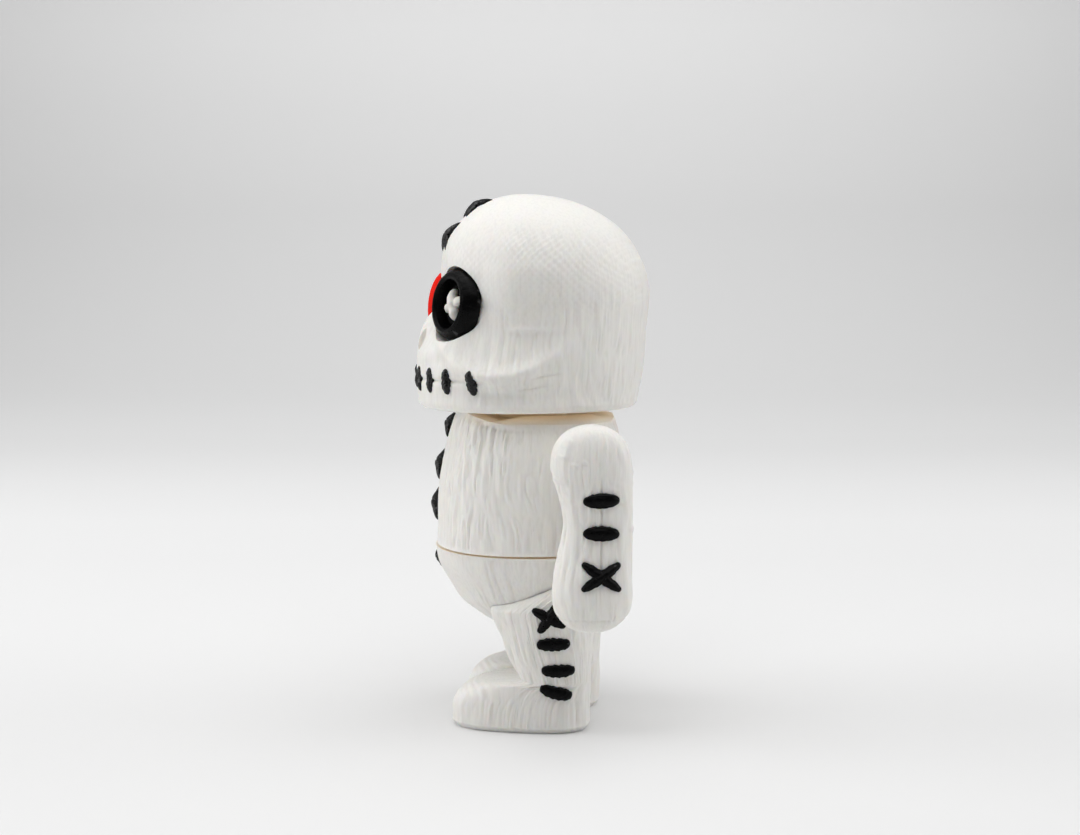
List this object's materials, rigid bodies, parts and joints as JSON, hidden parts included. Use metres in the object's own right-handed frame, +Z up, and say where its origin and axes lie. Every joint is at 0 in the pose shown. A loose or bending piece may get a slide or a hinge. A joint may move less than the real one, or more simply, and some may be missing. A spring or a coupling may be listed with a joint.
{
  "type": "voodoo doll",
  "caption": "Standing articulated toy doll with a skull-like head, dished button eyes, raised stitches, swinging arms, and pivots at neck, waist and hips.",
  "frame": {"origin": "on the ground, under the middle of the doll's box", "axes": "+Z up, the chest faces -Y, the doll's left side is +X"},
  "size_m": [0.0792, 0.0632, 0.14],
  "materials": {
    "shell_white": "satin printed plastic with a fine sewn-look texture",
    "thread_white": "satin printed plastic",
    "stitch_black": "semi-gloss printed plastic",
    "button_red": "semi-gloss printed plastic",
    "pin_white": "plain printed plastic"
  },
  "bodies": {
    "pelvis": {"pelvis_shell": "shell_white", "belly_stitch": "stitch_black", "waist_pin": "pin_white", "left_hip_pin": "pin_white", "right_hip_pin": "pin_white"},
    "chest": {"chest_shell": "shell_white", "chest_stitch_upper": "stitch_black", "chest_stitch_middle": "stitch_black", "chest_stitch_lower": "stitch_black", "neck_pin": "pin_white", "left_shoulder_pin": "pin_white", "right_shoulder_pin": "pin_white"},
    "head": {"head_shell": "shell_white", "left_eye_button": "stitch_black", "left_eye_thread": "thread_white", "right_eye_button": "button_red", "right_eye_thread": "thread_white", "forehead_stitch_upper": "stitch_black", "forehead_stitch_lower": "stitch_black", "mouth_stitch_1": "stitch_black", "mouth_stitch_2": "stitch_black", "mouth_stitch_3": "stitch_black", "mouth_stitch_4": "stitch_black", "mouth_stitch_5": "stitch_black", "mouth_stitch_6": "stitch_black", "mouth_stitch_7": "stitch_black", "mouth_stitch_8": "stitch_black"},
    "left_arm": {"left_arm": "shell_white", "left_arm_bar_upper": "stitch_black", "left_arm_bar_lower": "stitch_black", "left_arm_cross": "stitch_black"},
    "right_arm": {"right_arm": "shell_white", "right_arm_bar_upper": "stitch_black", "right_arm_bar_lower": "stitch_black", "right_arm_cross": "stitch_black"},
    "left_leg": {"left_leg": "shell_white", "left_leg_cross": "stitch_black", "left_leg_bar_upper": "stitch_black", "left_leg_bar_middle": "stitch_black", "left_leg_bar_lower": "stitch_black"},
    "right_leg": {"right_leg": "shell_white", "right_leg_cross": "stitch_black", "right_leg_bar_upper": "stitch_black", "right_leg_bar_middle": "stitch_black", "right_leg_bar_lower": "stitch_black"}
  },
  "joints": [
    {"name": "waist_turn", "type": "hinge", "parent": "pelvis", "child": "chest", "pos_m": [0, 0, 0.0473], "axis": [0, 0, 1], "continuous": true},
    {"name": "neck_turn", "type": "hinge", "parent": "chest", "child": "head", "pos_m": [0, 0, 0.0837], "axis": [0, 0, 1], "continuous": true},
    {"name": "left_shoulder_swing", "type": "hinge", "parent": "chest", "child": "left_arm", "pos_m": [0.02615, 0.0151, 0.0706], "axis": [-1, 0, 0], "range_deg": [-90, 90]},
    {"name": "right_shoulder_swing", "type": "hinge", "parent": "chest", "child": "right_arm", "pos_m": [-0.02615, 0.0151, 0.0706], "axis": [-1, 0, 0], "range_deg": [-90, 90]},
    {"name": "left_hip_swivel", "type": "hinge", "parent": "pelvis", "child": "left_leg", "pos_m": [0.01192, 0.0036, 0.02767], "axis": [-0.4841, -0.1464, 0.8627], "range_deg": [0, 15]},
    {"name": "right_hip_swivel", "type": "hinge", "parent": "pelvis", "child": "right_leg", "pos_m": [-0.01034, 0.00693, 0.02767], "axis": [-0.4201, 0.2815, -0.8627], "range_deg": [0, 15]}
  ]
}
